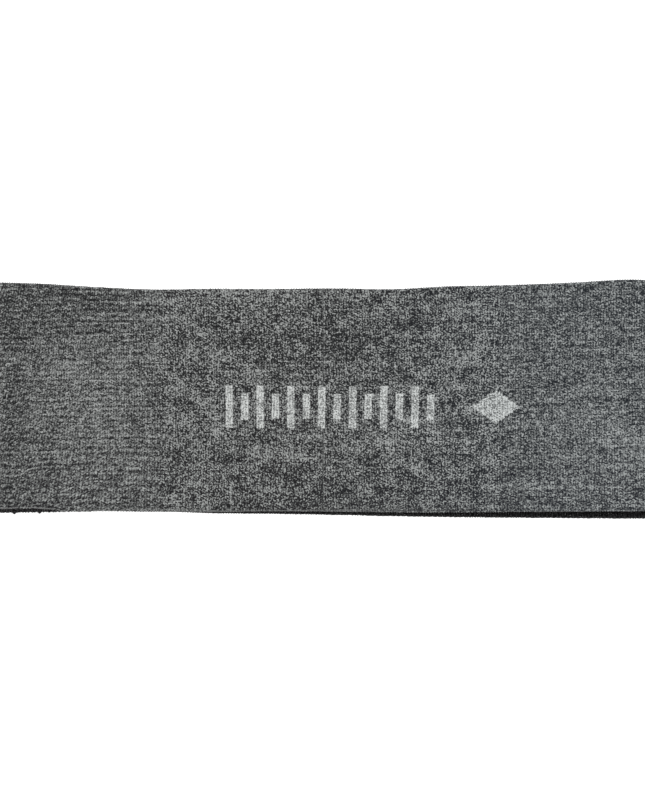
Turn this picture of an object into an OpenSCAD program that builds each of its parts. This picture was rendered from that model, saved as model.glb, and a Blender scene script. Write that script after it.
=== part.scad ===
// Double-layer seamless knitted headband, lying flat with its two halves one over the other.
// X runs along the flat length, Y up the height of the band, Z up off the surface it lies on.
// The loop is one racetrack wall: two straight halves joined by a soft fold at each end.

/* [Loop] */
// Flat length from one fold to the other
flat_length = 234; // [200:1:260]
// Height of the band at its narrowest point, in the tight middle of the knit
mid_height = 79; // [60:1:100]
// Thickness of the loop as it lies relaxed, over both halves
loop_t = 9.8; // [9.4:0.1:14]
// How far the lower half lies below the upper half, along Y
skew = 1.6; // [0.4:0.1:3]

/* [Edges] */
// Radius of the hollow curve of the top edge
top_arc_r = 2400; // [2000:50:4000]
// Where the top edge is lowest, along X
top_arc_x = -12; // [-20:1:20]
// Radius of the full curve of the bottom edge
low_arc_r = 6700; // [4000:50:9000]
// Where the bottom edge is lowest, along X
low_arc_x = -10; // [-20:1:20]

/* [Layers] */
// Thickness of the marl outer knit
shell_t = 0.9; // [0.8:0.05:1.2]
// Loft between the outer knit and the lining
layer_gap = 0.4; // [0.35:0.05:0.6]
// Thickness of the plain inner knit
lining_t = 0.8; // [0.6:0.05:1]
// How far the outer knit turns down inside the top fold
turn_down = 3.5; // [3:0.1:6]
// Height of the lining's hem, turned out under the outer knit
hem_h = 0.8; // [0.6:0.05:1]

/* [Elastic] */
// Width of the clear elastic tape in each edge
elastic_w = 3; // [2:0.1:5]
// Thickness of the elastic tape
elastic_t = 0.24; // [0.15:0.01:0.3]
// How far the upper tape lies below the top edge
upper_elastic_drop = 1.3; // [1.3:0.1:2]
// How far the lower tape lies above the bottom edge
lower_elastic_lift = 2; // [1.6:0.1:4]

/* [Motif] */
// Number of knitted bars
bar_count = 14; // [8:1:16]
// Distance from one bar to the next
bar_pitch = 5.5; // [5:0.1:6]
// Width of a bar
bar_w = 3; // [2:0.1:4]
// Height of a long bar
long_bar_h = 15; // [10:0.5:18]
// Height of a short bar
short_bar_h = 9; // [6:0.5:12]
// Middle of the row of bars, along X
bars_x = 2; // [-10:0.2:6]
// Middle of the motif, along Y
motif_y = -3; // [-8:0.2:8]
// Middle of the lozenge, along X
lozenge_x = 61; // [60:0.2:70]
// Length of the lozenge
lozenge_w = 17; // [10:0.5:20]
// Height of the lozenge
lozenge_h = 12; // [8:0.5:14]
// Depth of the light yarn in the outer knit
motif_depth = 0.45; // [0.3:0.05:0.6]

/* [Jacquard] */
// Width of the middle zone that is knitted with floats behind it
jacquard_w = 124; // [100:1:150]
// Distance from one band of floats to the next
float_pitch = 3.8; // [3:0.1:6]
// Width of a band of floats
float_w = 2.4; // [1:0.1:2.8]
// Thickness of the floats
float_t = 0.24; // [0.15:0.01:0.3]

/* [Stitching] */
// Thickness of the thread that closes the bottom edge
thread_t = 0.3; // [0.2:0.02:0.4]
// Height of its chain above the bottom edge
chain_lift = 1.1; // [1.1:0.05:1.4]
// Height of the chain itself
chain_h = 0.4; // [0.3:0.05:0.5]
// Distance from one edge loop of the thread to the next
loop_pitch = 5.6; // [3:0.1:8]
// Width of an edge loop
loop_w = 0.6; // [0.4:0.1:1]

/* [Care label] */
// Width of the satin tape
label_w = 12; // [8:1:20]
// Length of the folded label
label_l = 18; // [12:1:25]
// Thickness of the tape
label_t = 0.2; // [0.15:0.05:0.25]
// Middle of the label, along X
label_x = 30; // [-60:1:60]
// Number of stitches that hold it
label_stitch_count = 7; // [3:1:9]

/* [Hidden] */
// Clearance between pieces that lie against each other
clear = 0.03;
// Overshoot of a cut past the face that it opens
over = 1;
// Facets of an edge arc and of a fold
arc_fn = 1440;
fold_fn = 96;

wall_t = shell_t + layer_gap + lining_t;
lining_depth = shell_t + layer_gap;
float_depth = shell_t + (layer_gap - float_t) / 2;
elastic_depth = shell_t + (layer_gap - elastic_t) / 2;
fold_r = loop_t / 2;
straight_half = flat_length / 2 - fold_r;
tilt = atan(skew / loop_t);
// The wall starts much taller than the band, and the two edges trim it
uncut_h = 2 * mid_height;
// How far the thread hangs below the bottom edge, and how far the top edge rises at its far end
stitch_drop = 0.25;
corner_rise = pow(straight_half + abs(top_arc_x), 2) / (2 * top_arc_r);
// The two edges at their middles, placed so that the whole band is centred on Y = 0
mid_low = -(mid_height + corner_rise - stitch_drop) / 2;
mid_top = mid_low + mid_height;
// Gap in which the thread joins the turned-down outer knit to the lining
join_gap = 0.4;
// The floats stop this far from the two elastic tapes
float_margin = 1;
float_low = mid_low + lower_elastic_lift + elastic_w + float_margin + skew;
float_top = mid_top - turn_down - elastic_w - float_margin;
float_count = floor((float_top - float_low) / float_pitch);
loop_count = floor((2 * straight_half - loop_w) / loop_pitch) + 1;
// The folded label: its slot between the two leaves, how far it hangs below the join, and the row
// of stitches that holds it, each with its length, its width and its depth
label_slot = 0.1;
label_fold_t = 2 * label_t + label_slot;
label_gap = 1;
label_top = mid_top - skew / 2 - turn_down - join_gap - label_gap;
label_stitch_drop = 1.5;
label_stitch_size = [1, 0.3, lining_t + label_fold_t + 2 * clear];

marl_grey = [0.37, 0.39, 0.40];
lining_black = [0.06, 0.06, 0.065];
light_grey = [0.68, 0.71, 0.72];
clear_elastic = [0.85, 0.87, 0.88];
satin_white = [0.9, 0.9, 0.88];

// ---- The loop's own building shapes. A depth is measured inwards from the outer face. ----

module stadium(l, w) {
    square([l - w, w], center = true);
    for (side = [-1, 1])
        translate([side * (l - w) / 2, 0])
            circle(d = w, $fn = fold_fn);
}

// The racetrack block inside the wall's face at this depth
module track(depth) {
    translate([0, 0, fold_r])
        rotate([90, 0, 0])
            linear_extrude(height = uncut_h, center = true)
                stadium(flat_length - 2 * depth, loop_t - 2 * depth);
}

// The flat outline, from lift above the bottom edge to drop below the top edge.
// It is cut from a block that leans, which lengthens it, so its heights are shortened to match.
module outline(lift, drop) {
    low = (mid_low + lift) * cos(tilt);
    top = (mid_top - drop) * cos(tilt);
    difference() {
        intersection() {
            square([flat_length + 2 * over, uncut_h], center = true);
            translate([low_arc_x, low + low_arc_r])
                circle(r = low_arc_r, $fn = arc_fn);
        }
        translate([top_arc_x, top + top_arc_r])
            circle(r = top_arc_r, $fn = arc_fn);
    }
}

// The outline as a leaning block, so that the lower half lies lower along Y than the upper half
module trim(lift = 0, drop = 0) {
    translate([0, 0, fold_r])
        rotate([-tilt, 0, 0])
            linear_extrude(height = 2 * (loop_t + mid_height * sin(tilt)), center = true)
                outline(lift, drop);
}

// The part of the loop's wall that has this depth and thickness
module loop_band(depth, thickness, lift = 0, drop = 0) {
    intersection() {
        difference() {
            track(depth);
            track(depth + thickness);
        }
        trim(lift, drop);
    }
}

// A strip of it that follows the top edge
module top_strip(depth, thickness, drop, height) {
    difference() {
        loop_band(depth, thickness, 0, drop);
        trim(-over, drop + height);
    }
}

// A strip of it that follows the bottom edge
module bottom_strip(depth, thickness, lift, height) {
    difference() {
        loop_band(depth, thickness, lift, 0);
        trim(lift + height, -over);
    }
}

// ---- Outer knit and the light yarn in it ----

// The footprint of one bar in every bar_pitch, long and short by turns
module bar_row(grow) {
    for (i = [0 : bar_count - 1]) {
        h = i % 2 == 0 ? long_bar_h : short_bar_h;
        translate([bars_x + (i - (bar_count - 1) / 2) * bar_pitch, motif_y])
            square([bar_w + 2 * grow, h + 2 * grow], center = true);
    }
}

module lozenge(grow) {
    w = lozenge_w / 2 + 2 * grow;
    h = lozenge_h / 2 + 2 * grow;
    translate([lozenge_x, motif_y])
        polygon([[-w, 0], [0, -h], [w, 0], [0, h]]);
}

// Fills a footprint from the front face down by depth
module inlay(depth, above = 0) {
    translate([0, 0, loop_t - depth])
        linear_extrude(height = depth + above)
            children();
}

// The marl knit: the whole outer face, over the top edge and down inside it
module outer_shell() {
    color(marl_grey)
        difference() {
            union() {
                loop_band(0, shell_t, hem_h + clear);
                top_strip(0, wall_t, 0, shell_t);
                top_strip(lining_depth, lining_t, 0, turn_down);
            }
            inlay(motif_depth + clear, over) bar_row(clear);
            inlay(motif_depth + clear, over) lozenge(clear);
            bottom_strip(-over, over + thread_t + clear, 0, chain_lift + chain_h + clear);
        }
}

module motif_bars() {
    color(light_grey) inlay(motif_depth) bar_row(0);
}

module motif_lozenge() {
    color(light_grey) inlay(motif_depth) lozenge(0);
}

// ---- What is inside and behind it ----

// The plain knit, with its hem turned out below the outer knit
module inner_lining() {
    color(lining_black)
        difference() {
            union() {
                loop_band(lining_depth, lining_t, 0, turn_down + join_gap);
                bottom_strip(thread_t + clear, wall_t - thread_t - clear, 0, hem_h);
            }
            label_stitch_row(clear);
        }
}

// Bands of dark yarn that float behind the middle of the front
module float_backing() {
    color(lining_black)
        for (i = [0 : float_count - 1])
            translate([-jacquard_w / 2, float_low + i * float_pitch, loop_t - float_depth - float_t])
                cube([jacquard_w, float_w, float_t]);
}

module upper_edge_elastic() {
    color(clear_elastic) top_strip(elastic_depth, elastic_t, upper_elastic_drop, elastic_w);
}

module lower_edge_elastic() {
    color(clear_elastic) bottom_strip(elastic_depth, elastic_t, lower_elastic_lift, elastic_w);
}

// ---- Stitching ----

// Slices across the loop, one for each place where the thread goes round the edge
module loop_places() {
    for (i = [0 : loop_count - 1])
        translate([(i - (loop_count - 1) / 2) * loop_pitch, mid_low, fold_r])
            cube([loop_w, mid_height, 2 * loop_t], center = true);
}

// A chain along the bottom edge, and loops from it under the edge to the inner face
module closing_seam_thread() {
    reach = stitch_drop + chain_lift + chain_h;
    inner_face = wall_t + clear;
    color(light_grey) {
        bottom_strip(0, thread_t, chain_lift, chain_h);
        intersection() {
            union() {
                bottom_strip(0, thread_t, -stitch_drop, reach);
                bottom_strip(0, inner_face + thread_t, -stitch_drop, stitch_drop - clear);
                bottom_strip(inner_face, thread_t, -stitch_drop, reach);
            }
            loop_places();
        }
    }
}

// The thread between the turned-down outer knit and the lining
module inner_join_thread() {
    color(light_grey)
        top_strip(lining_depth + clear, lining_t - 2 * clear, turn_down + clear, join_gap - 2 * clear);
}

// ---- Care label, inside the lower half ----

// One folded tape: two leaves joined by a round fold at the lower end
module label_profile() {
    difference() {
        union() {
            square([label_l - label_fold_t / 2, label_fold_t]);
            translate([label_l - label_fold_t / 2, label_fold_t / 2])
                circle(d = label_fold_t, $fn = fold_fn);
        }
        translate([-over, label_t])
            square([label_l + over - label_fold_t / 2, label_slot]);
    }
}

module label_stitch_row(grow) {
    pitch = label_w / label_stitch_count;
    for (i = [0 : label_stitch_count - 1])
        translate([label_x + (i - (label_stitch_count - 1) / 2) * pitch,
            label_top - label_stitch_drop, wall_t - lining_t + label_stitch_size[2] / 2])
            cube(label_stitch_size + 2 * [grow, grow, over * sign(grow)], center = true);
}

module care_label() {
    color(satin_white)
        difference() {
            translate([label_x - label_w / 2, label_top, wall_t + clear])
                rotate([90, 0, 90])
                    mirror([1, 0])
                        linear_extrude(height = label_w)
                            label_profile();
            label_stitch_row(clear);
        }
}

module label_stitches() {
    color(light_grey) label_stitch_row(0);
}

outer_shell();
inner_lining();
motif_bars();
motif_lozenge();
float_backing();
upper_edge_elastic();
lower_edge_elastic();
closing_seam_thread();
inner_join_thread();
care_label();
label_stitches();
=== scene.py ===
"""The looks of a double-layer knitted headband that lies flat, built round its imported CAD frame.

Every piece is laid on the loop by place(u, q, lift). u runs round the loop, from the middle of the
front towards +X. q runs across the knit: 0 is the very bottom of the edge, positive q climbs the
outer face, goes over the top fold and down inside, and negative q climbs the inner face. lift is
the height above that surface. All lengths are in metres.
"""

import math

import bmesh
import bpy
import numpy as np
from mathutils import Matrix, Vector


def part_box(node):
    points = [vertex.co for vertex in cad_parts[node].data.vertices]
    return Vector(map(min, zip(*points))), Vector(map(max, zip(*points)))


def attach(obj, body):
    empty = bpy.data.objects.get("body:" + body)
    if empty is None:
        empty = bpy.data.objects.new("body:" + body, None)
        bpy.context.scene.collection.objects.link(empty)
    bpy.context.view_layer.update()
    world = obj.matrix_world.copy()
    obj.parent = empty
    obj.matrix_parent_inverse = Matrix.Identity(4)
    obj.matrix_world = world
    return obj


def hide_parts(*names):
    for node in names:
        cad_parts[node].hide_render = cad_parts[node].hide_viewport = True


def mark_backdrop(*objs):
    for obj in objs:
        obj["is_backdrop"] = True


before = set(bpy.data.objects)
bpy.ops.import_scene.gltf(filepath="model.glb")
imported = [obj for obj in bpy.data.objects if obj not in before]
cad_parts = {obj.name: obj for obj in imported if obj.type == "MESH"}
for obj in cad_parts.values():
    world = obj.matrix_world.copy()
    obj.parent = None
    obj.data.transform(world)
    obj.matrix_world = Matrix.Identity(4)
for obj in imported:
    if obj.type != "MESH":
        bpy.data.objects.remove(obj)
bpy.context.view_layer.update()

MM = 0.001
SEED = 7
rng = np.random.default_rng(SEED)

# ---- The loop, from the CAD frame ---------------------------------------------------------------

shell_low, shell_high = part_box("outer_shell")
LOOP_T = shell_high[2] - shell_low[2]
FOLD_R = LOOP_T / 2
STRAIGHT = (shell_high[0] - shell_low[0]) / 2 - FOLD_R
ROUND = 4 * STRAIGHT + 2 * math.pi * FOLD_R

# The wall's layers as the CAD has them, which its boxes don't show
SHELL_T = 0.9 * MM
LINING_T = 0.8 * MM
WALL_T = 2.1 * MM
EDGE_R = WALL_T / 2
QUARTER = EDGE_R * math.pi / 2
TURN_DOWN = 3.5 * MM
JOIN_GAP = 0.4 * MM

# How far the front hangs down between the folds, and how high its soft undulations are
SAG = 1.1 * MM
UNDULATION = 0.22 * MM
# The rear undulates less, and towards the folds the waves fade out
REAR_UNDULATION = 0.5 * UNDULATION
END_FADE = 6
# Each wave of the undulations: lengths along X and Y in mm, start and height
UNDULATION_WAVES = [(13, 31, 0.0, 1.0), (21, -17, 2.1, 1.0), (8, 12, 4.0, 0.6)]
WAVES_HIGH = sum(wave[-1] for wave in UNDULATION_WAVES)
# How much the two corners of a fold are rounded, at the top and at the bottom
TOP_CORNER = 0.5 * MM
LOW_CORNER = 0.35 * MM
# Up to this upward normal on either side of a fold, the edges ease from front to rear
EASE = 0.9

# The band's edges along X, as its own knit shapes them: tight in the middle, wider to the ends
FRONT_TOP = [(-117, 41.1), (-100, 40.6), (-82, 39.52), (-58, 38.55), (-45, 38.8), (-15, 38.8),
             (2, 39), (26, 38.75), (43, 39.67), (62, 40.05), (92, 41.2), (107, 42.05), (117, 41.9)]
FRONT_LOW = [(-117, -40.5), (-93, -40.2), (-79, -39.95), (-60, -40.25), (-43, -40.83), (-20, -40.8),
             (18, -40.6), (41, -40.4), (77, -40.05), (117, -39.85)]
# How much lower than the front the rear lies, along X
REAR_SHIFT = [(-117, -0.1), (-60, -0.2), (-20, 0.3), (0, 0.7), (20, 1.25), (42, 1.85), (60, 2.2),
              (80, 2.55), (117, 3.0)]
# How far the dark hem of the lining comes up the front, along X
HEM_RISE = [(-117, 1.85), (-99, 1.65), (-94, 1.1), (-91, 0.3), (-88, 0), (117, 0)]
# Between these upward normals of a fold, the hem goes from nothing to its rise on the front
HEM_FADE = (-1, 0.3)

# ---- The knit's own grid ------------------------------------------------------------------------

WALES = 522
WALE = ROUND / WALES
COURSE = 0.47 * MM
# How many courses a leg climbs across a whole wale
V_SLANT = 1.0
# The groove between a stitch's two legs: its half width in wales, and what of the relief it leaves
GROOVE_W, GROOVE = 0.14, 0.7
# How steeply the relief falls, across a wale and along it
ACROSS_POWER, ALONG_POWER = 0.8, 0.6
# Where along X the jacquard zone lies
JACQUARD_START, JACQUARD_END = -58 * MM, 62 * MM
# How much the wales lean at the left end, how far out that begins and is in full, and the q at
# which they stay in place
LEAN = 0.16
LEAN_FROM, LEAN_FULL = 60 * MM, 115 * MM
LEAN_MIDDLE = 40 * MM
# Each slow wave of the wales' drift: lengths along u and q in mm, start and height
WALE_DRIFT = [(23, 29, 0.0, 0.5), (-37, 11, 0.0, 0.35)]
WALE_DRIFT_SHARE = 0.5
# The courses' drift: courses, length along u, start, and how far from the edge it is in full
COURSE_DRIFT = 1.2
COURSE_DRIFT_LENGTH, COURSE_DRIFT_START = 41 * MM, 1.0
COURSE_DRIFT_REACH = 12 * MM

# Where the front is lighter or darker than the rest: middle and reach in mm, and amount
# The first darkens the left end: a painted shade of the fold there
SHADE_AND_TONE_PATCHES = [(-117, 0, 15, 200, -0.8), (-80, 0, 26, 24, 0.9), (-90, 34, 17, 12, -0.9),
         (-28, 36, 25, 7, 1.2), (2, 21, 30, 13, -1.4), (5, -34, 38, 7, -1.1),
         (99, -12, 18, 18, 1.2), (55, 14, 15, 9, 0.7)]
# Towards +X the front turns bluer, and towards -X its courses begin to show as stripes
BLUE_FROM, BLUE_FULL = -20 * MM, 100 * MM
STRIPES_FROM, STRIPES_FULL = 45 * MM, 75 * MM


def waves(table, a, b):
    """The sum of slow waves over a and b."""
    return sum(height * np.sin(a / (length_a * MM) + b / (length_b * MM) + start)
               for length_a, length_b, start, height in table)


def curve(points, x):
    """A smooth curve through (x, y) points given in millimetres, at x in metres."""
    xs, ys = np.array(points, dtype=float).T * MM
    slopes = np.gradient(ys, xs)
    x = np.clip(x, xs[0], xs[-1])
    i = np.clip(np.searchsorted(xs, x) - 1, 0, len(xs) - 2)
    gap = xs[i + 1] - xs[i]
    t = (x - xs[i]) / gap
    start = (1 + 2 * t) * (1 - t) ** 2 * ys[i] + t * (1 - t) ** 2 * gap * slopes[i]
    end = t * t * (3 - 2 * t) * ys[i + 1] + t * t * (t - 1) * gap * slopes[i + 1]
    return start + end


def smooth(low, high, x):
    """0 below low, 1 above high, and a smooth step between."""
    t = np.clip((x - low) / (high - low), 0, 1)
    return t * t * (3 - 2 * t)


def loop_path(u):
    """The outer face at u: x, z, and its outward normal's x and z, 1 on the front, -1 on the rear."""
    u = (np.asarray(u, dtype=float) + ROUND / 2) % ROUND - ROUND / 2
    side, along = np.sign(u), np.abs(u)
    angle = np.clip((along - STRAIGHT) / FOLD_R, 0, math.pi)
    past = np.maximum(along - STRAIGHT - math.pi * FOLD_R, 0)
    x = side * (np.minimum(along, STRAIGHT) + FOLD_R * np.sin(angle) - past)
    z = FOLD_R * (1 + np.cos(angle))
    return x, z, side * np.sin(angle), np.cos(angle)


def edges(u):
    """The heights of the bottom and the top edge at u."""
    x, _, _, up = loop_path(u)
    rear = smooth(-EASE, EASE, -up)
    corner = 1 - np.abs(up)
    shift = curve(REAR_SHIFT, x) * rear
    low = curve(FRONT_LOW, x) - shift + LOW_CORNER * corner
    top = curve(FRONT_TOP, x) - shift - TOP_CORNER * corner
    return low, top


def profile(q, height):
    """Across the wall at q: depth below the outer face, height above the bottom, outward normal."""
    face = height - 2 * EDGE_R
    low_angle = np.clip(q, -QUARTER, QUARTER) / EDGE_R
    top_angle = np.clip((q - QUARTER - face) / EDGE_R, 0, math.pi)
    climb = np.clip(q - QUARTER, 0, face) + np.maximum(-q - QUARTER, 0)
    back = np.maximum(q - QUARTER - face - math.pi * EDGE_R, 0)
    inside = q < -QUARTER
    depth = EDGE_R * (1 - np.sin(low_angle)) + EDGE_R * (1 - np.cos(top_angle))
    rise = EDGE_R * (1 - np.cos(low_angle)) + climb + EDGE_R * np.sin(top_angle) - back
    out = np.where(inside, -1.0, np.where(q > QUARTER, np.cos(top_angle), np.sin(low_angle)))
    up = np.where(inside, 0.0, np.where(q > QUARTER, np.sin(top_angle), -np.cos(low_angle)))
    return depth, rise, out, up


def settle(x, y, front):
    """How far the cloth at (x, y) is moved up: the front sags, and both halves undulate softly."""
    span = np.clip(1 - (x / STRAIGHT) ** 2, 0, 1)
    rise = 1 + waves(UNDULATION_WAVES, x, y) / WAVES_HIGH
    ends = np.minimum(span * END_FADE, 1)
    high = -SAG * span - UNDULATION * rise * ends
    low = REAR_UNDULATION * rise * ends
    return front * high + (1 - front) * low


def place(u, q, lift=0.0):
    """The points of the cloth at u, q and lift, as an array of x, y, z."""
    u, q, lift = np.broadcast_arrays(*[np.asarray(v, dtype=float) for v in (u, q, lift)])
    x, z, across, upward = loop_path(u)
    low, top = edges(u)
    depth, rise, out, up = profile(q, top - low)
    height = lift * out - depth
    y = low + rise + lift * up
    px = x + across * height
    pz = z + upward * height + settle(x, y, (1 + upward) / 2)
    return np.stack([px, y, pz], axis=-1)


def q_at(u, y):
    """q of the place on the outer face that is at the height y."""
    return y - edges(u)[0] - EDGE_R + QUARTER


def top_of(u):
    """q where the turned-down outer knit ends, inside the top fold."""
    low, top = edges(u)
    return 3 * QUARTER + (top - low - 2 * EDGE_R) + TURN_DOWN - EDGE_R


def hem_of(u):
    """q of the line where the lining's hem meets the outer knit."""
    x, _, _, up = loop_path(u)
    return curve(HEM_RISE, x) * smooth(*HEM_FADE, up)


def knit_grid(u, q):
    """Wales, courses and jacquard zone at (u, q), with the slow drift that a relaxed knit has."""
    x, _, _, up = loop_path(u)
    front = (1 + up) / 2
    lean = LEAN * smooth(LEAN_FROM, LEAN_FULL, -x) * front
    wale = (u - lean * (q - LEAN_MIDDLE)) / WALE + WALE_DRIFT_SHARE * waves(WALE_DRIFT, u, q)
    drift = COURSE_DRIFT * np.sin(u / COURSE_DRIFT_LENGTH + COURSE_DRIFT_START)
    course = q / COURSE + drift * smooth(0, COURSE_DRIFT_REACH, np.abs(q))
    zone = smooth(JACQUARD_START - MM, JACQUARD_START + MM, x) * front
    zone = zone * (1 - smooth(JACQUARD_END - MM, JACQUARD_END + MM, x))
    return wale, course, zone


def stitch_height(wale, course):
    """The relief of plain knit, from 0 to 1: two slanted legs to each stitch."""
    across = np.abs(wale % 1 - 0.5)
    along = (course - V_SLANT * across) % 1
    groove = GROOVE + (1 - GROOVE) * smooth(0, GROOVE_W, across)
    hump = np.cos(math.pi * across) ** ACROSS_POWER
    return hump * groove * np.sin(math.pi * along) ** ALONG_POWER


def cloth_tone(u, q):
    """How light the knit is, with a painted shade at its left fold, how blue, and how much it is
    striped by its courses.
    """
    x, y, _ = np.moveaxis(place(u, q), -1, 0)
    front = (1 + loop_path(u)[3]) / 2
    light = sum(amount * np.exp(-((x / MM - mx) / rx) ** 2 - ((y / MM - my) / ry) ** 2)
                for mx, my, rx, ry, amount in SHADE_AND_TONE_PATCHES)
    blue = smooth(BLUE_FROM, BLUE_FULL, x)
    stripes = smooth(STRIPES_FROM, STRIPES_FULL, -x)
    return np.stack([light * front, blue * front, stripes * front], axis=-1)


# ---- Mesh helpers -------------------------------------------------------------------------------

# How much of its radius a tube keeps at an open end, and how closely a path may follow Y and still
# have Y as the guide for its rings
TUBE_END = 0.35
UPRIGHT = 0.9
TINY = 1e-12


def link(obj):
    """Puts an object in the scene."""
    bpy.context.scene.collection.objects.link(obj)
    return obj


def mesh_object(name, points, quads, **marks):
    """A smooth mesh piece; marks are vectors kept at its points, such as knit and tone."""
    mesh = bpy.data.meshes.new(name)
    mesh.from_pydata(points.reshape(-1, 3).tolist(), [], quads.tolist())
    mesh.polygons.foreach_set("use_smooth", [True] * len(mesh.polygons))
    for mark, vectors in marks.items():
        layer = mesh.attributes.new(mark, "FLOAT_VECTOR", "POINT")
        layer.data.foreach_set("vector", np.ascontiguousarray(vectors, dtype=np.float32).ravel())
    mesh.validate()
    mesh.update()
    return link(bpy.data.objects.new(name, mesh))


def grid_quads(rows, columns, close_rows=False, close_columns=False):
    """Quads over a grid of points, which may join up with itself either way."""
    r = np.arange(rows if close_rows else rows - 1)[:, None]
    c = np.arange(columns if close_columns else columns - 1)[None, :]
    r2, c2 = (r + 1) % rows, (c + 1) % columns
    quads = [r * columns + c, r * columns + c2, r2 * columns + c2, r2 * columns + c]
    return np.stack([np.broadcast_to(q, (r.size, c.size)) for q in quads], axis=-1).reshape(-1, 4)


def ring_of_cloth(name, u, q_rows, lift_rows):
    """A closed band of cloth round the loop: each row of q and lift is one line round it."""
    q = np.stack(q_rows)
    lift = np.stack(lift_rows)
    points = place(u[None, :], q, lift)
    u = np.broadcast_to(u, q.shape)
    quads = grid_quads(len(q), u.shape[1], close_rows=True, close_columns=True)
    return mesh_object(name, points, quads, knit=np.stack(knit_grid(u, q), axis=-1),
                       tone=cloth_tone(u, q))


def unit(vectors):
    """The vectors at length 1."""
    return vectors / (np.linalg.norm(vectors, axis=-1, keepdims=True) + TINY)


def tube(paths, radius, sides, closed):
    """The points and the faces of one tube along each path, with flat caps on its open ends."""
    paths = np.asarray(paths)
    count, steps = paths.shape[:2]
    ahead = np.roll(paths, -1, axis=1) - np.roll(paths, 1, axis=1)
    if not closed:
        ahead[:, 0] = paths[:, 1] - paths[:, 0]
        ahead[:, -1] = paths[:, -1] - paths[:, -2]
    ahead = unit(ahead)
    guide = np.where(np.abs(ahead[..., 1:2]) > UPRIGHT, [1.0, 0, 0], [0, 1.0, 0])
    side = unit(np.cross(ahead, guide))
    other = np.cross(side, ahead)
    turn = np.arange(sides) * 2 * math.pi / sides
    wide = radius * np.ones((count, steps))
    if not closed:
        wide[:, 0] = wide[:, -1] = TUBE_END * radius
    ring = (side[:, :, None] * np.cos(turn)[None, None, :, None]
            + other[:, :, None] * np.sin(turn)[None, None, :, None])
    points = (paths[:, :, None] + wide[:, :, None, None] * ring).reshape(-1, 3)
    first = (np.arange(count) * steps * sides)[:, None, None]
    one = grid_quads(steps, sides, close_rows=closed, close_columns=True)
    faces = (one[None] + first).reshape(-1, 4).tolist()
    if not closed:
        caps = np.array([range(sides - 1, -1, -1), range((steps - 1) * sides, steps * sides)])
        faces += (caps[None] + first).reshape(-1, sides).tolist()
    return points, faces


def tube_object(name, paths, radius, sides=6, closed=False):
    """Tubes as one piece, each closed on itself or with caps on its ends."""
    points, faces = tube(paths, radius, sides, closed)
    mesh = bpy.data.meshes.new(name)
    mesh.from_pydata(points.tolist(), [], faces)
    mesh.polygons.foreach_set("use_smooth", [True] * len(mesh.polygons))
    mesh.update()
    return link(bpy.data.objects.new(name, mesh))


# ---- Materials ----------------------------------------------------------------------------------


class Shader:
    """A material written as expressions: each method adds one node and returns its output."""

    def __init__(self, name, **constants):
        self.material = bpy.data.materials.new(name)
        self.material.use_nodes = True
        self.tree = self.material.node_tree
        self.bsdf = self.tree.nodes["Principled BSDF"]
        for socket, value in constants.items():
            self.bsdf.inputs[socket.replace("_", " ")].default_value = value

    def node(self, kind, inputs=(), output=0, **settings):
        node = self.tree.nodes.new(kind)
        for key, value in settings.items():
            setattr(node, key, value)
        for socket, value in dict(inputs).items():
            self.feed(node.inputs[socket], value)
        return node.outputs[output]

    def feed(self, socket, value):
        if isinstance(value, bpy.types.NodeSocket):
            self.tree.links.new(value, socket)
        else:
            socket.default_value = value

    def math(self, operation, a, b=0.0):
        return self.node("ShaderNodeMath", {0: a, 1: b}, operation=operation)

    def add(self, *terms):
        total = terms[0]
        for term in terms[1:]:
            total = self.math("ADD", total, term)
        return total

    def times(self, a, b):
        return self.math("MULTIPLY", a, b)

    def minus(self, a, b):
        return self.math("SUBTRACT", a, b)

    def step(self, value, low, high):
        """0 at low, 1 at high, and a smooth step between."""
        return self.node("ShaderNodeMapRange", {"Value": value, "From Min": low, "From Max": high},
                         interpolation_type="SMOOTHSTEP")

    def blend(self, share, a, b):
        """A number between a and b, by its share."""
        return self.node("ShaderNodeMix", {0: share, 2: a, 3: b}, data_type="FLOAT")

    def colour(self, share, a, b, way="MIX"):
        """A colour between a and b by its share, or both put together in another way."""
        a, b = [v if isinstance(v, bpy.types.NodeSocket) else (*v, 1) for v in (a, b)]
        return self.node("ShaderNodeMix", {0: share, 6: a, 7: b}, output=2, data_type="RGBA",
                         blend_type=way)

    def vector(self, x, y, z=0.0):
        return self.node("ShaderNodeCombineXYZ", {0: x, 1: y, 2: z})

    def noise(self, where, scale, detail):
        return self.node("ShaderNodeTexNoise", {"Vector": where, "Scale": scale, "Detail": detail})

    def grain(self, wale, course, size):
        """Noise over the knit's own grid; size is its scale across, its scale along and its detail."""
        return self.noise(self.vector(self.times(wale, size[0]), self.times(course, size[1])),
                          1.0, size[2])

    def random(self, where):
        """A number of its own for each whole place."""
        return self.node("ShaderNodeTexWhiteNoise", {"Vector": where})

    def attribute(self, name):
        """The x, y and z of a mesh attribute."""
        whole = self.node("ShaderNodeAttribute", output=1, attribute_name=name)
        split = self.tree.nodes.new("ShaderNodeSeparateXYZ")
        self.feed(split.inputs[0], whole)
        return split.outputs

    def bump(self, height, distance):
        normal = self.node("ShaderNodeBump", {"Height": height, "Distance": distance,
                                              "Strength": 1.0})
        self.set("Normal", normal)

    def set(self, socket, value):
        """Links a value to a socket of the shader."""
        self.feed(self.bsdf.inputs[socket], value)


# Each draw of random numbers has a seed of its own
PAIR_SEED, RIB_SEED, LEG_SEED, PINHOLE_SEED = 2.0, 3.0, 4.0, 6.0
# The cosine at which a pinhole begins
PINHOLE_RIM = -0.4
# The sizes of the marl's grains: scale across, scale along, and detail
STREAK, CLOUD, LINE = (0.45, 5.3, 1.0), (0.13, 0.08, 3.0), (0.03, 7.7, 0.0)
FIBRE, CLIMBING_FIBRE, JITTER = (1.65, 1.05, 1.0), (1.0, 0.9, 1.0), (0.55, 0.275, 2.0)
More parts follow.
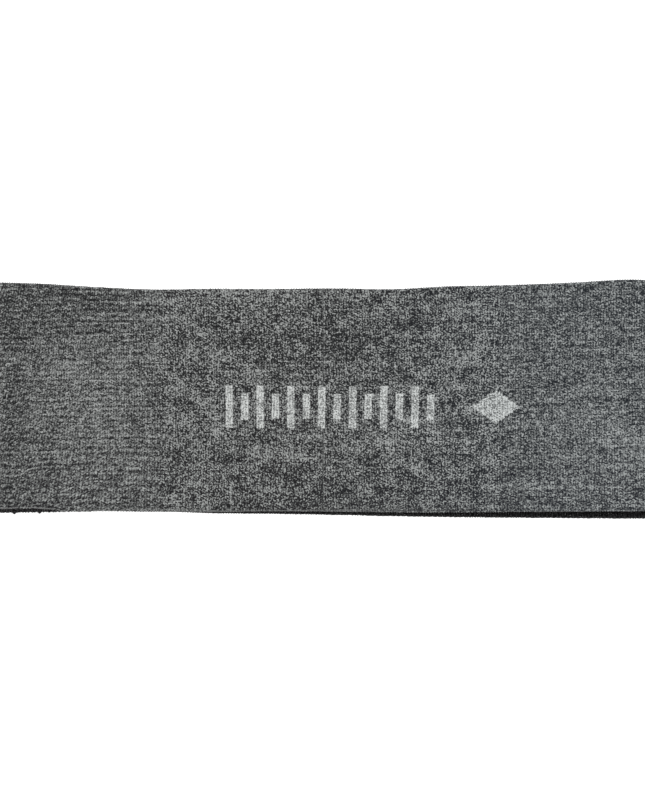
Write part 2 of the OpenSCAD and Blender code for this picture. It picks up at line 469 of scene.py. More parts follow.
# How much each source of the marl's mix counts: in the plain knit, and in the jacquard zone
MIX_STITCH, MIX_PLY, MIX_STREAK = (0.15, 0.3), (0.65, 0.95), (1.35, 1.0)
MIX_CLOUD, MIX_FIBRE, MIX_PINHOLES = (0.4, 1.25), (1.9, 2.85), (-0.9, -1.3)
MIX_LINE, MIX_STRIPE, MIX_SHADE_AND_TONE = 0.6, 0.12, 0.12
# Striped knit has this share of the contrast
STRIPED_CONTRAST = 0.9
# From the first of these courses down to the second, the grain at the left begins to climb, and
# by how many courses it climbs from wale to wale
CLIMB_FROM, CLIMB_FULL = 150.0, 50.0
CLIMB = 1.2
# The power that darkens the mix of the two yarns, and between which reliefs the gaps' painted shade
# fades
MIX_POWER = 1.6
GAP_SHADE_FROM, GAP_SHADE_TO = -0.3, 0.5
# How far the stitches stray from the knit's grid, in wales and courses, and how far the cloud
# bends the stripes, as an angle
STRAY = 1.3
STRIPE_BEND = 12.0
# How rough the marl is from fibre to fibre, how much the fibres add to its relief, and its depth
MARL_ROUGHNESS = 0.82, 0.94
MARL_FIBRE, MARL_BUMP = 0.25, 0.18 * MM
# The marl's tint without and with its bluer tone, and the blue that its dark yarn gains
TINTS = (0.97, 1.0, 0.978), (0.955, 1.0, 0.985)
BLUES = (0.0, 0.0, 0.0008), (0.0, 0.002, 0.0055)


def stitch_cells(s, wale, course):
    """The stitch that a point lies in, its relief from 0 to 1, and the slanted course."""
    across = s.math("ABSOLUTE", s.minus(s.math("FRACT", wale), 0.5))
    slanted = s.minus(course, s.times(across, V_SLANT))
    hump = s.math("POWER", s.math("COSINE", s.times(across, math.pi)), ACROSS_POWER)
    groove = s.blend(s.step(across, 0.0, GROOVE_W), GROOVE, 1.0)
    along = s.math("SINE", s.times(s.math("FRACT", slanted), math.pi))
    relief = s.times(s.times(hump, groove), s.math("POWER", along, ALONG_POWER))
    return s.math("FLOOR", wale), s.math("FLOOR", slanted), relief, slanted


def pinholes(s, wale, course):
    """Small dark gaps where two wales meet, at every second course, each of its own depth."""
    gap_column = s.math("ROUND", wale)
    turned = s.add(course, gap_column)
    gap_row = s.math("ROUND", s.times(turned, 0.5))
    across = s.step(s.math("COSINE", s.times(wale, 2 * math.pi)), PINHOLE_RIM, 1.0)
    along = s.step(s.math("COSINE", s.times(turned, math.pi)), PINHOLE_RIM, 1.0)
    depth = s.random(s.vector(gap_column, gap_row, PINHOLE_SEED))
    return s.times(s.times(across, along), depth)


def marl_material(name, dark, light, gap, share, contrast):
    """Knit of a dark and a light yarn, mixed stitch by stitch and fibre by fibre, over gaps of painted
    shade.

    share is how much of it is light on average, and contrast is how much that changes.
    """
    s = Shader(name, Roughness=0.88, Sheen_Weight=0.1, Sheen_Roughness=0.5, Specular_IOR_Level=0.12)
    (knit_wale, knit_course, zone), tone = s.attribute("knit"), s.attribute("tone")
    shade_and_tone, blue_tone, stripes = tone
    stray = s.times(s.minus(s.grain(knit_wale, knit_course, JITTER), 0.5), STRAY)
    wale, course = s.add(knit_wale, stray), s.minus(knit_course, stray)
    column, row, relief, slanted = stitch_cells(s, wale, course)
    # Two courses share a colour, and the pairs step from wale to wale, most of all in the jacquard
    pair_row = s.math("FLOOR", s.add(s.times(slanted, 0.5), s.times(column, 0.5)))
    stitch = s.random(s.vector(column, pair_row, PAIR_SEED))
    leg = s.math("FLOOR", s.times(wale, 2.0))
    ply = s.random(s.vector(leg, row, LEG_SEED))
    # Towards the lower left the grain climbs from wale to wale
    climbs = s.math("LESS_THAN", stitch,
                    s.times(stripes, s.step(knit_course, CLIMB_FROM, CLIMB_FULL)))
    climbing_row = s.math("FLOOR", s.minus(course, s.times(wale, CLIMB)))
    streak_row = s.blend(climbs, row, climbing_row)
    streak = s.grain(wale, streak_row, STREAK)
    cloud = s.grain(wale, course, CLOUD)
    line = s.grain(wale, row, LINE)
    across = s.minus(s.times(wale, 2.0), s.times(course, CLIMB))
    fibre = s.blend(climbs, s.grain(wale, course, FIBRE), s.grain(across, course, CLIMBING_FIBRE))
    stripe = s.math("SINE", s.add(s.times(slanted, math.pi / 2), s.times(cloud, STRIPE_BEND)))

    def part(source, weights):
        return s.times(s.minus(source, 0.5), s.blend(zone, *weights))

    mixed = s.add(part(stitch, MIX_STITCH), part(ply, MIX_PLY), part(streak, MIX_STREAK),
                  s.times(s.minus(line, 0.5), MIX_LINE),
                  part(cloud, MIX_CLOUD), part(fibre, MIX_FIBRE),
                  s.times(s.times(stripe, stripes), MIX_STRIPE),
                  s.times(pinholes(s, wale, course), s.blend(zone, *MIX_PINHOLES)))
    # The front's lighter and darker patches come in here, with a painted shade at the left fold
    mixed = s.add(s.times(mixed, s.blend(stripes, contrast, STRIPED_CONTRAST * contrast)),
                  s.times(shade_and_tone, MIX_SHADE_AND_TONE), share)
    light_share = s.math("POWER", s.node("ShaderNodeClamp", {0: mixed}), MIX_POWER)
    yarn = s.colour(light_share, dark, light)
    # Where the relief is low, between the stitches, the gap colour is painted in as shade
    shade = s.colour(s.step(relief, GAP_SHADE_FROM, GAP_SHADE_TO), gap, yarn)
    tinted = s.colour(1.0, shade, s.colour(blue_tone, *TINTS), "MULTIPLY")
    s.set("Base Color", s.colour(1.0, tinted, s.colour(blue_tone, *BLUES), "ADD"))
    s.set("Roughness", s.blend(fibre, *MARL_ROUGHNESS))
    s.bump(s.add(relief, s.times(fibre, MARL_FIBRE)), MARL_BUMP)
    return s.material


# The lining's grain, where in it the paler fibres begin, and its two colours
LINING_FIBRE = (1.6, 1.1, 2.0)
FUZZ_FROM, FUZZ_FULL = 0.56, 0.74
LINING_DARK, LINING_FUZZ = (0.001, 0.001, 0.0012), (0.26, 0.26, 0.26)
# How much the stitches and the fuzz count in its colour, the rib and the fibres in its relief
STITCH_SHARE, FUZZ_SHARE = 0.1, 0.9
RIB_RELIEF, FIBRE_RELIEF, LINING_BUMP = 0.8, 0.5, 0.25 * MM
LINING_ROUGHNESS = 0.85, 0.95


def lining_material():
    """Near-black fine rib, with paler fibres that stand out of it."""
    s = Shader("black_rib", Roughness=0.9, Sheen_Weight=0.03, Sheen_Roughness=0.4,
               Specular_IOR_Level=0.05)
    wale, course, _ = s.attribute("knit")
    column, row, relief, _ = stitch_cells(s, wale, course)
    rib = s.math("SINE", s.times(wale, math.pi))
    stitch = s.random(s.vector(column, row, RIB_SEED))
    fibre = s.grain(wale, course, LINING_FIBRE)
    fuzz = s.step(fibre, FUZZ_FROM, FUZZ_FULL)
    share = s.times(s.add(s.times(stitch, STITCH_SHARE), s.times(fuzz, FUZZ_SHARE)), relief)
    s.set("Base Color", s.colour(share, LINING_DARK, LINING_FUZZ))
    s.set("Roughness", s.blend(fibre, *LINING_ROUGHNESS))
    s.bump(s.add(relief, s.times(rib, RIB_RELIEF), s.times(fibre, FIBRE_RELIEF)), LINING_BUMP)
    return s.material


# Thread and satin: the scale of the waves, how bent they are and how much of the colour they make,
# the scale of the patches, and how deep the waves go
PLIES, PLY_BEND, PLY_SHARE, THREAD_PATCHES, THREAD_BUMP = 900.0, 3.0, 0.5, 700.0, 0.05 * MM
WARPS, WARP_BEND, WARP_SHARE, SATIN_PATCHES, SATIN_BUMP = 1500.0, 0.6, 0.35, 300.0, 0.03 * MM
SATIN_SHADES = (0.66, 0.66, 0.63), (0.86, 0.86, 0.83)
# The elastic: the angle that its cords' wave turns through in a course, how deep the cords go, the
# scale of its patches, and its shades
CORD_TURN, CORD_BUMP, ELASTIC_PATCHES = 18.0, 0.05 * MM, 1.5
ELASTIC_SHADES = (0.55, 0.57, 0.58), (0.8, 0.82, 0.83)


def thread_material(name, dark, light):
    """Twisted yarn: fine slanting plies and a broken colour."""
    s = Shader(name, Roughness=0.8, Sheen_Weight=0.1, Specular_IOR_Level=0.15)
    place_at = s.node("ShaderNodeTexCoord", output=3)
    plies = s.node("ShaderNodeTexWave", {"Vector": place_at, "Scale": PLIES, "Detail": 1.0,
                                         "Distortion": PLY_BEND},
                   output=1, bands_direction="DIAGONAL")
    patch = s.noise(place_at, THREAD_PATCHES, 2.0)
    share = s.add(s.times(plies, PLY_SHARE), s.times(patch, 1 - PLY_SHARE))
    s.set("Base Color", s.colour(share, dark, light))
    s.bump(plies, THREAD_BUMP)
    return s.material


def satin_material():
    """White satin: fine warp lines and a slightly uneven white."""
    s = Shader("white_satin", Roughness=0.38, Anisotropic=0.5, Sheen_Weight=0.15)
    place_at = s.node("ShaderNodeTexCoord", output=3)
    warp = s.node("ShaderNodeTexWave", {"Vector": place_at, "Scale": WARPS,
                                        "Distortion": WARP_BEND}, output=1, bands_direction="X")
    patch = s.noise(place_at, SATIN_PATCHES, 3.0)
    share = s.add(s.times(warp, WARP_SHARE), s.times(patch, 1 - WARP_SHARE))
    s.set("Base Color", s.colour(share, *SATIN_SHADES))
    s.bump(warp, SATIN_BUMP)
    return s.material


def elastic_material():
    """Clear elastic with fine cords along it."""
    s = Shader("clear_elastic", Roughness=0.35, Transmission_Weight=0.35, IOR=1.45)
    wale, course, _ = s.attribute("knit")
    cords = s.math("SINE", s.times(course, CORD_TURN))
    patch = s.noise(s.vector(wale, course), ELASTIC_PATCHES, 2.0)
    s.set("Base Color", s.colour(patch, *ELASTIC_SHADES))
    s.bump(cords, CORD_BUMP)
    return s.material


def grey(level):
    """A plain grey."""
    return level, level, level


# gap is the colour of the painted shade in the gaps between the stitches
MARL = marl_material("grey_marl_knit", dark=grey(0.005), light=grey(0.31), gap=grey(0.008),
                     share=0.455, contrast=1.1)
PALE = marl_material("pale_motif_knit", dark=grey(0.09), light=grey(0.53), gap=grey(0.11),
                     share=0.8, contrast=0.9)
LINING = lining_material()
CHAIN_YARN = thread_material("marl_thread", grey(0.02), grey(0.25))
DARK_YARN = thread_material("black_thread", grey(0.006), (0.035, 0.035, 0.037))
SATIN = satin_material()
ELASTIC = elastic_material()


def finish_piece(piece, material, node):
    """Gives a piece its material and its body, and hides the CAD node that it stands for."""
    piece.data.materials.append(material)
    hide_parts(node)
    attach(piece, "root")
    return piece


# ---- Cloth --------------------------------------------------------------------------------------

COLUMNS_A_WALE = 3
around = np.arange(WALES * COLUMNS_A_WALE) * WALE / COLUMNS_A_WALE
# Every wale stands out by its own amount where it goes round an edge
WALE_UNEVEN = 0.3
wale_edge = np.repeat(rng.normal(1.0, WALE_UNEVEN, WALES), COLUMNS_A_WALE)
# How high the wales' ridges are on the faces, and how much higher round the edges
RIDGE = 0.06 * MM
SCALLOP = 0.13 * MM
# How much deeper than the wall's own faces the lining lies
LINING_SINK = 0.02 * MM
# Rows of points in the outer knit: above the hem, up the face, over the fold and down its turned
# edge, then back behind the turned edge, the fold and the face
HEM_ROWS, FACE_ROWS, FOLD_ROWS, TURNED_ROWS = 7, 26, 13, 4
TURNED_BACK_ROWS, FOLD_BACK_ROWS, FACE_BACK_ROWS = 2, 5, 6
# Rows of points in the lining: round the bottom edge and up the inner face, then back behind both
BOTTOM_ROWS, INNER_ROWS, LINING_BACK_ROWS = 12, 22, 6


def between(start, end, count, last=False):
    """Rows of q spread evenly from start to end, each an array round the loop."""
    return [start + (end - start) * t for t in np.linspace(0, 1, count, endpoint=last)]


def wale_ridges(u, q, height):
    """Relief of the wales: low on the faces, and scalloped round both edges."""
    ridge = -np.cos(2 * math.pi * knit_grid(u, q)[0])
    to_top = q - QUARTER - (height - 2 * EDGE_R) - QUARTER
    edge = np.exp(-((to_top / QUARTER) ** 2)) + np.exp(-((q / QUARTER) ** 2))
    return RIDGE * ridge + SCALLOP * edge * wale_edge * (0.5 + 0.5 * ridge)


def outer_knit():
    """The marl knit, over the outer face, the top fold and its turned-down hem."""
    low, top = edges(around)
    height = top - low
    start, end = hem_of(around), top_of(around)
    face_start = start + QUARTER
    fold_start = QUARTER + height - 2 * EDGE_R
    fold_end = fold_start + 2 * QUARTER
    q = (between(start, face_start, HEM_ROWS) + between(face_start, fold_start, FACE_ROWS)
         + between(fold_start, fold_end, FOLD_ROWS)
         + between(fold_end, end, TURNED_ROWS, last=True))
    lift = [wale_ridges(around, row, height) for row in q]
    back = (between(end, fold_end, TURNED_BACK_ROWS) + between(fold_end, fold_start, FOLD_BACK_ROWS)
            + between(fold_start, start, FACE_BACK_ROWS, last=True))
    q, lift = q + back, lift + [np.full_like(around, -SHELL_T)] * len(back)
    return ring_of_cloth("outer_knit", around, q, lift)


def inner_knit():
    """The black lining, over the inner face and round the bottom edge to its hem."""
    low, top = edges(around)
    height = top - low
    hem = hem_of(around)
    face_end = -QUARTER - (height - EDGE_R - TURN_DOWN - JOIN_GAP)
    turn = np.full_like(hem, -QUARTER)
    q = between(hem, turn, BOTTOM_ROWS) + between(turn, face_end, INNER_ROWS, last=True)
    lift = [wale_ridges(around, row, height) - LINING_SINK for row in q]
    back = (between(face_end, turn, LINING_BACK_ROWS)
            + between(turn, hem, LINING_BACK_ROWS, last=True))
    q, lift = q + back, lift + [np.full_like(around, -LINING_T)] * len(back)
    piece = ring_of_cloth("inner_knit", around, q, lift)
    piece.data.flip_normals()
    return piece


shell = finish_piece(outer_knit(), MARL, "outer_shell")
lining = finish_piece(inner_knit(), LINING, "inner_lining")

# ---- Motif: bars and a lozenge of pale stitches -------------------------------------------------

bars_low, bars_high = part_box("motif_bars")
lozenge_low, lozenge_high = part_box("motif_lozenge")
BAR_COUNT = 14
BAR_W = 3 * MM
BAR_WALES = 3
# How high a short bar is, as a share of a long one, and how deep the motif reaches into the knit
SHORT_BAR = 0.6
INLAY = 0.45 * MM
# How far the pale stitches stand out, how high their own relief is, and how deep their rim goes
PALE_LIFT, PALE_RELIEF, PALE_RIM = 0.07 * MM, 0.1 * MM, -0.12 * MM
# Points to a wale and to a course, and how many more of both are laid out round a motif
FINE_WALE, FINE_COURSE = 5, 4
SPARE_WALES, SPARE_COURSES = 2, 4


def in_bars(x, y, column):
    """Where the row of bars, long and short by turns, has its pale yarn: in whole wales."""
    pitch = (bars_high[0] - bars_low[0] - BAR_W) / (BAR_COUNT - 1)
    number = np.round((x - bars_low[0] - BAR_W / 2) / pitch)
    centre = bars_low[0] + BAR_W / 2 + number * pitch
    middle, half = (bars_low[1] + bars_high[1]) / 2, (bars_high[1] - bars_low[1]) / 2
    middle_column = np.floor(knit_grid(centre, q_at(centre, middle))[0])
    half = np.where(number % 2 == 0, half, half * SHORT_BAR)
    inside = (np.abs(column - middle_column) <= BAR_WALES // 2) & (np.abs(y - middle) < half)
    return inside & (number >= 0) & (number < BAR_COUNT)


def in_lozenge(x, y, column):
    """Where the lozenge has its pale yarn: by each stitch's middle, whatever its wale."""
    middle = (np.array(lozenge_low) + np.array(lozenge_high)) / 2
    half = (np.array(lozenge_high) - np.array(lozenge_low)) / 2
    return np.abs(x - middle[0]) / half[0] + np.abs(y - middle[1]) / half[1] < 1


def solid_patch(name, upper, lower, quads, **marks):
    """A closed solid between two grids of points, over the quads that are kept."""
    count = upper.shape[0]
    ways = np.concatenate([quads[:, [i, (i + 1) % 4]] for i in range(4)])
    _, first, uses = np.unique(np.sort(ways, axis=1), axis=0, return_index=True, return_counts=True)
    rim = ways[first[uses == 1]]
    sides = np.stack([rim[:, 1], rim[:, 0], rim[:, 0] + count, rim[:, 1] + count], axis=-1)
    faces = np.concatenate([quads, quads[:, ::-1] + count, sides])
    used, faces = np.unique(faces, return_inverse=True)
    marks = {mark: np.concatenate([vectors, vectors])[used] for mark, vectors in marks.items()}
    points = np.concatenate([upper, lower])[used]
    return mesh_object(name, points, faces.reshape(-1, 4), **marks)


def pale_stitches(name, low, high, inside):
    """The pale stitches inside a motif, each wholly in or wholly out by where its middle lies."""
    columns = np.arange(math.floor(low[0] / WALE) - SPARE_WALES,
                        math.ceil(high[0] / WALE) + SPARE_WALES + 1, 1 / FINE_WALE)
    rows = np.arange(math.floor(q_at(0.0, low[1]) / COURSE) - SPARE_COURSES,
                     math.ceil(q_at(0.0, high[1]) / COURSE) + SPARE_COURSES + 1, 1 / FINE_COURSE)
    u, q = np.meshgrid(columns * WALE, rows * COURSE)
    wale, course, zone = knit_grid(u, q)
    slanted = course - V_SLANT * np.abs(wale % 1 - 0.5)
    middle_u = u + (np.floor(wale) + 0.5 - wale) * WALE
    middle_q = q + (np.floor(slanted) + 0.5 + V_SLANT / 4 - course) * COURSE
    middle = place(middle_u, middle_q)
    pale = inside(middle[..., 0], middle[..., 1], np.floor(wale))
    lift = np.where(pale, PALE_LIFT + PALE_RELIEF * stitch_height(wale, course), PALE_RIM)
    quads = grid_quads(*u.shape)
    quads = quads[pale.ravel()[quads].any(axis=1)]
    knit = np.stack([wale, course, zone], axis=-1).reshape(-1, 3)
    upper, lower = place(u, q, lift), place(u, q, -INLAY)
    return solid_patch(name, upper.reshape(-1, 3), lower.reshape(-1, 3), quads, knit=knit,
                       tone=cloth_tone(u, q).reshape(-1, 3))


bars = finish_piece(pale_stitches("motif_bar_stitches", bars_low, bars_high, in_bars),
                    PALE, "motif_bars")
lozenge = finish_piece(pale_stitches("motif_lozenge_stitches", lozenge_low, lozenge_high,
                                     in_lozenge), PALE, "motif_lozenge")

# ---- Seams --------------------------------------------------------------------------------------

# The wales to a link and to a loop, how far above the hem the chain runs, and the threads' radii
CHAIN_WALES = 2
CHAIN_Q = 0.34 * MM
CHAIN_R = 0.10 * MM
LOOP_R = 0.15 * MM
# Points round a link and along a loop, and round a knot's path and its thread
LINK_STEPS, LOOP_STEPS, KNOT_STEPS, KNOT_SIDES = 14, 11, 40, 8
# A link's half length in pitches, its half width, and how much wider it is towards its start
LINK_L, LINK_W, LINK_FLARE = 0.62, 0.13 * MM, 0.35
# How high a link lies, and how far its start dives and its end rises from that, in mm
LINK_LIFT, LINK_RISE = 0.01, 0.12
# How far links stray aside, how deep they sink on average, each by itself, and in slow waves
LINK_WANDER, LINK_SINK, LINK_UNEVEN = 0.04 * MM, -0.04 * MM, 0.06 * MM
LINK_WAVE, LINK_WAVE_LENGTH = 0.09 * MM, 2.3 * MM
# The loops under the edge: how far each strays and slants, how high it lies, how deep it ends, and
# how far up the inner face
LOOP_WANDER, LOOP_SLANT = 0.08 * MM, 0.35
LOOP_LIFT, LOOP_END, LOOP_BACK = 0.09 * MM, -0.05 * MM, 0.6 * MM
# The zigzag: its half width, how high it lies, its radius, and its points to a wale
ZIGZAG_HALF, ZIGZAG_LIFT, ZIGZAG_R = 0.42 * MM, 0.07 * MM, 0.1 * MM
ZIGZAG_STEPS = 4
# Each knot's place along the edge and its size; both lie at the same height and have one thickness
KNOTS = [(-109.5 * MM, 1.25), (-100.6 * MM, 1.0)]
KNOT_Q, KNOT_SCALE, KNOT_R = 0.15 * MM, 0.13 * MM, 0.17 * MM
# How much wider than a plain trefoil a knot is
KNOT_STRETCH = 1.9


def closing_chain():
    """A row of chain stitches just above the hem, each link through the one before."""
    pitch = CHAIN_WALES * WALE
    turn = np.linspace(0, 2 * math.pi, LINK_STEPS, endpoint=False)
    along = (0.5 - LINK_L * np.cos(turn)) * pitch
    aside = LINK_W * np.sin(turn) * (1 + LINK_FLARE * np.cos(turn))
    start = np.arange(WALES // CHAIN_WALES)[:, None] * pitch
    wander = rng.normal(0, LINK_WANDER, start.shape)
    sunk = rng.normal(LINK_SINK, LINK_UNEVEN, start.shape)
    sunk = sunk + LINK_WAVE * np.sin(start / LINK_WAVE_LENGTH)
    above = (LINK_LIFT - LINK_RISE * np.cos(turn)) * MM + sunk
    u = start + along
    return tube_object("closing_chain", place(u, hem_of(u) + CHAIN_Q + wander + aside, above),
                       CHAIN_R, closed=True)


def edge_loops():
    """The thread's loops from the chain, under the edge, to the inner face."""
    pitch = CHAIN_WALES * WALE
    start = np.arange(WALES // CHAIN_WALES)[:, None] * pitch
    run = np.linspace(0, 1, LOOP_STEPS)[None, :]
    u = start + rng.normal(0, LOOP_WANDER, start.shape) + LOOP_SLANT * pitch * (run - 0.5)
    top = hem_of(u) + CHAIN_Q
    bottom = -QUARTER - LOOP_BACK
    q = top + (bottom - top) * run
    above = np.full_like(q, LOOP_LIFT)
    above[:, 0] = above[:, -1] = LOOP_END
    return tube_object("closing_edge_loops", place(u, q, above), LOOP_R)


def join_zigzag():
    """The zigzag that joins the turned-down knit to the lining, inside the top fold."""
    steps = WALES * ZIGZAG_STEPS
    u = np.arange(steps) * ROUND / steps
    q = top_of(u) + JOIN_GAP / 2 + ZIGZAG_HALF * np.sin(2 * math.pi * u / (2 * WALE))
    path = place(u, q, ZIGZAG_LIFT)
    return tube_object("inner_join_zigzag", path[None], ZIGZAG_R, closed=True)


def thread_knots():
    """Two small trefoil knots of thread that hang from the left end of the bottom edge."""
    t = np.linspace(0, 2 * math.pi, KNOT_STEPS, endpoint=False)
    knot = np.stack([KNOT_STRETCH * (np.sin(t) + 2 * np.sin(2 * t)),
                     np.cos(t) - 2 * np.cos(2 * t), -np.sin(3 * t)], axis=-1) * KNOT_SCALE
    paths = np.stack([knot * size + place(u, KNOT_Q) for u, size in KNOTS])
    return tube_object("seam_knots", paths, KNOT_R, KNOT_SIDES, closed=True)


chain = finish_piece(closing_chain(), CHAIN_YARN, "closing_seam_thread")
loops = finish_piece(edge_loops(), DARK_YARN, "closing_seam_thread")
knots = finish_piece(thread_knots(), DARK_YARN, "closing_seam_thread")
zigzag = finish_piece(join_zigzag(), CHAIN_YARN, "inner_join_thread")

# ---- Inside the wall: elastic tapes and floats --------------------------------------------------

ELASTIC_W = 3 * MM
ELASTIC_T = 0.24 * MM
ELASTIC_ROWS = 6
# How far the upper tape stays below the top fold, and the lower one above the bottom's turn
UPPER_GAP, LOWER_GAP = 0.3 * MM, MM
# The tapes' crimp: its height, and its length in wales
CRIMP, CRIMP_WALES = 0.03 * MM, 2.5
# How far under the outer face the middle of the room between the layers lies
MIDDLE = -(SHELL_T + (WALL_T - SHELL_T - LINING_T) / 2)
FLOAT_COUNT = 16
FLOAT_STEPS = 180
FLOAT_R = 0.13 * MM
# How far a float strays up and down, over which length, and how it differs from the next
FLOAT_SLACK, FLOAT_LENGTH, FLOAT_SHIFT = 0.5 * MM, 3 * MM, 1.7


def elastic(name, start):
    """A tape round the loop inside the wall, from start over ELASTIC_W."""
    u = around[::COLUMNS_A_WALE]
    q0 = start(u)
    q = between(q0, q0 + ELASTIC_W, ELASTIC_ROWS, last=True)
    crimp = CRIMP * np.sin(2 * math.pi * u / (CRIMP_WALES * WALE))
    face = [MIDDLE + ELASTIC_T / 2 + crimp] * ELASTIC_ROWS
    back = [MIDDLE - ELASTIC_T / 2 + crimp] * ELASTIC_ROWS
    return ring_of_cloth(name, u, q + q[::-1], face + back)


def upper_start(u):
    """q where the upper tape starts, just below the top fold."""
    low, top = edges(u)
    return QUARTER + (top - low - 2 * EDGE_R) - ELASTIC_W - UPPER_GAP


def lower_start(u):
    """q where the lower tape starts, just above the bottom edge's turn."""
    return np.full_like(u, QUARTER + LOWER_GAP)


def floats():
    """Dark yarns that cross behind the front's middle, each a little slack."""
    rows = np.arange(FLOAT_COUNT)[:, None]
    float_low, float_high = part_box("float_backing")
    u = np.linspace(float_low[0], float_high[0], FLOAT_STEPS)[None, :] + 0 * rows
    y = float_low[1] + (rows + 0.5) * (float_high[1] - float_low[1]) / FLOAT_COUNT
    q = q_at(u, y) + FLOAT_SLACK * np.sin(u / FLOAT_LENGTH + rows * FLOAT_SHIFT)
    return tube_object("jacquard_floats", place(u, q, MIDDLE), FLOAT_R)


finish_piece(elastic("upper_elastic_tape", upper_start), ELASTIC,
             "upper_edge_elastic")
finish_piece(elastic("lower_elastic_tape", lower_start), ELASTIC,
             "lower_edge_elastic")
finish_piece(floats(), DARK_YARN, "float_backing")

# ---- Care label ---------------------------------------------------------------------------------

label_low, label_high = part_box("care_label")
LABEL_T = 0.18 * MM
# The room between the two leaves at their fold, and how much of it is left at the sewn end
LABEL_SLOT, LABEL_PRESSED = 0.32 * MM, 0.35
# How high the label lies over the lining, how far its free end curls up, and how it bows across
LABEL_LIFT, LABEL_CURL, LABEL_BOW = 0.25 * MM, 0.9 * MM, 0.25 * MM
# Along the label, as shares of its length: where it is no longer pressed flat, where the curl
# begins, and where the bow is in full
PRESSED_TO, CURL_FROM, BOW_FULL = 0.4, 0.35, 0.5
# Points round the label's fold, along a leaf, across it, and along a stitch
BEND_STEPS, LEAF_STEPS, LABEL_COLUMNS, STITCH_STEPS = 9, 18, 13, 9
LABEL_STITCHES = 7
# The label's stitches: the room that one takes, its half length, its slant and its radius
STITCH_ROOM, STITCH_HALF, STITCH_SLANT, STITCH_R = MM, 0.62 * MM, 0.06 * MM, 0.1 * MM
# How high a stitch arches over the label, and how deep it goes back into the lining
STITCH_LIFT, STITCH_DIVE = 0.8 * MM, 0.9 * MM


def inner_q(u, y):
    """q of the place on the inner face that is at the height y."""
    return -QUARTER - (y - edges(u)[0] - EDGE_R)


def label_side(down, high, x, bow):
    """One face of the label: each row at its way down from the top and its height, bowed across."""
    y = (label_high[1] - down)[:, None] + 0 * x
    u = ROUND / 2 - x
    lining_z = place(u, inner_q(u, y))[..., 2]
    return np.stack([x + 0 * y, y, lining_z + (LABEL_LIFT + high[:, None] + bow)], axis=-1)


def close_tape_sides(mesh, rows, columns):
    """Closes the two long sides of a tape whose grid goes out over rows and back again."""
    tape = bmesh.new()
    tape.from_mesh(mesh)
    tape.verts.ensure_lookup_table()
    last = 2 * rows - 1
    for column in (0, columns - 1):
        for r in range(rows - 1):
            quad = [r, r + 1, last - r - 1, last - r]
            tape.faces.new([tape.verts[k * columns + column] for k in quad])
    bmesh.ops.recalc_face_normals(tape, faces=tape.faces)
    tape.to_mesh(mesh)
    tape.free()


def care_label():
    """A folded, slightly curled tape on the lining of the rear half."""
    width, length = label_high[0] - label_low[0], label_high[1] - label_low[1]
    bend = np.linspace(0, math.pi, BEND_STEPS)[1:-1]
    leaf = np.linspace(0, length - LABEL_SLOT, LEAF_STEPS)
    down = np.concatenate([leaf, leaf[-1] + LABEL_SLOT * np.sin(bend), leaf[::-1]])
    high = np.concatenate([0 * leaf, LABEL_SLOT * (1 - np.cos(bend)), 2 * LABEL_SLOT + 0 * leaf])
    high = high * (LABEL_PRESSED + (1 - LABEL_PRESSED) * smooth(0, PRESSED_TO * length, down))
    curl = LABEL_CURL * smooth(CURL_FROM * length, length, down) ** 2
    ahead, rise = np.gradient(down), np.gradient(high)
    size = np.hypot(ahead, rise)
    across = np.linspace(0, 1, LABEL_COLUMNS)[None, :]
    x = label_low[0] + width * across
    bow = LABEL_BOW * np.sin(math.pi * across) * smooth(0, BOW_FULL * length, down)[:, None]
    inner = label_side(down, high + curl, x, bow)
    outer = label_side(down - rise / size * LABEL_T, high + curl + ahead / size * LABEL_T, x, bow)
    rows, columns = inner.shape[:2]
    piece = mesh_object("care_label_tape", np.concatenate([inner, outer[::-1]]),
                        grid_quads(2 * rows, columns, close_rows=True))
    close_tape_sides(piece.data, rows, columns)
    return piece


def label_stitches():
    """Short stitches across the label's sewn end."""
    low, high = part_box("label_stitches")
    pitch = (high[0] - low[0] - STITCH_ROOM) / (LABEL_STITCHES - 1)
    start = low[0] + STITCH_ROOM / 2 + np.arange(LABEL_STITCHES)[:, None] * pitch
    run = np.linspace(-1, 1, STITCH_STEPS)[None, :]
    x = start + STITCH_HALF * run
    y = (low[1] + high[1]) / 2 + STITCH_SLANT * run
    u = ROUND / 2 - x
    lift = STITCH_LIFT - STITCH_DIVE * run ** 6
    return tube_object("label_stitch_thread", place(u, inner_q(u, y), lift), STITCH_R)


label = finish_piece(care_label(), SATIN, "care_label")
stitches = finish_piece(label_stitches(), CHAIN_YARN, "label_stitches")

# ---- Floor, light and camera --------------------------------------------------------------------

WHITE = (1, 1, 1, 1)
FLOOR_WHITE = (0.93, 0.93, 0.93, 1)
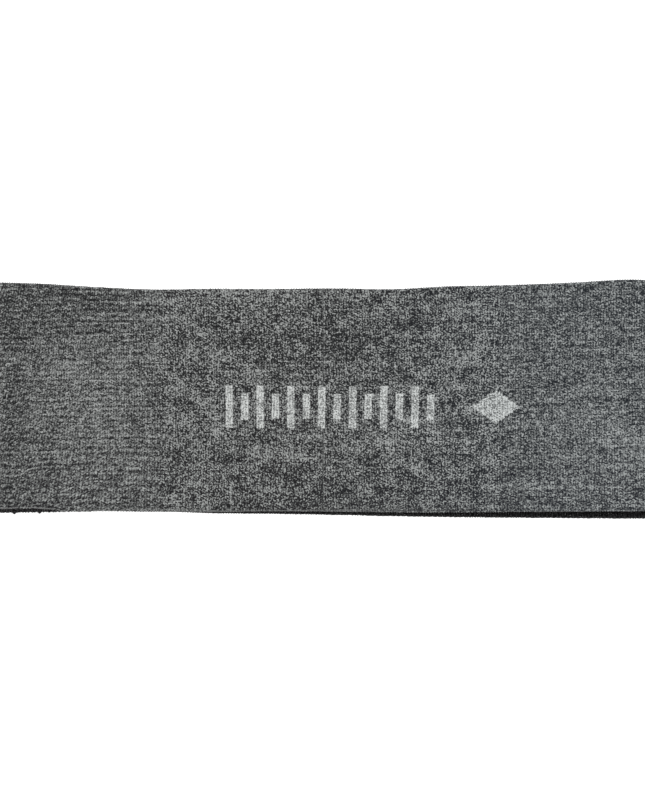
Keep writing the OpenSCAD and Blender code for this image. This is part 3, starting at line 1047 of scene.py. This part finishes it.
# The floor glows a little, so that it stays as white as the photo's ground
FLOOR_GLOW = 0.4
FLOOR_HALF = 3.0
FLOOR_Z = -0.05 * MM
WORLD_STRENGTH = 1.0
# Each softbox: where it hangs, its size and its power
KEY_LIGHT = (-0.7, 0.9, 1.2), 0.9, 17
FILL_LIGHT = (0.9, -0.5, 1.3), 1.2, 8

scene = bpy.context.scene
scene.view_settings.view_transform = "Standard"


def floor():
    """A plain white floor, just under the band."""
    s = Shader("white_floor", Roughness=0.9, Specular_IOR_Level=0.1, Base_Color=FLOOR_WHITE,
               Emission_Color=WHITE, Emission_Strength=FLOOR_GLOW)
    half = FLOOR_HALF
    corners = np.array([[-half, -half, 0], [half, -half, 0], [half, half, 0], [-half, half, 0]])
    plane = mesh_object("floor", corners, np.array([[0, 1, 2, 3]]))
    plane.location.z = FLOOR_Z
    plane.data.materials.append(s.material)
    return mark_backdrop(plane)


def area_light(name, where, size, power):
    """A square softbox at where, turned to the object."""
    lamp = bpy.data.lights.new(name, "AREA")
    lamp.size, lamp.energy = size, power
    obj = link(bpy.data.objects.new(name, lamp))
    obj.location = where
    obj.rotation_mode = "QUATERNION"
    obj.rotation_quaternion = (-obj.location).to_track_quat("-Z", "Y")
    return obj


floor()
world = bpy.data.worlds.new("studio")
scene.world = world
world.use_nodes = True
background = world.node_tree.nodes["Background"]
background.inputs["Color"].default_value = WHITE
background.inputs["Strength"].default_value = WORLD_STRENGTH
area_light("key_light", *KEY_LIGHT)
area_light("fill_light", *FILL_LIGHT)

CAMERA_HEIGHT = 1.0
FRAME_W, FRAME_H = 645, 807
# The view takes in this much of the band's own length, from fold to fold
VIEW_W = 228.2 * MM
# The point that the camera looks straight down on
VIEW_X, VIEW_Y = -0.35 * MM, -1.82 * MM
camera = link(bpy.data.objects.new("camera", bpy.data.cameras.new("camera")))
camera.location = (VIEW_X, VIEW_Y, LOOP_T + CAMERA_HEIGHT)
# The lens's angle spans the picture's longer side, which is its height
camera.data.lens = camera.data.sensor_width * CAMERA_HEIGHT / (VIEW_W * FRAME_H / FRAME_W)
scene.camera = camera
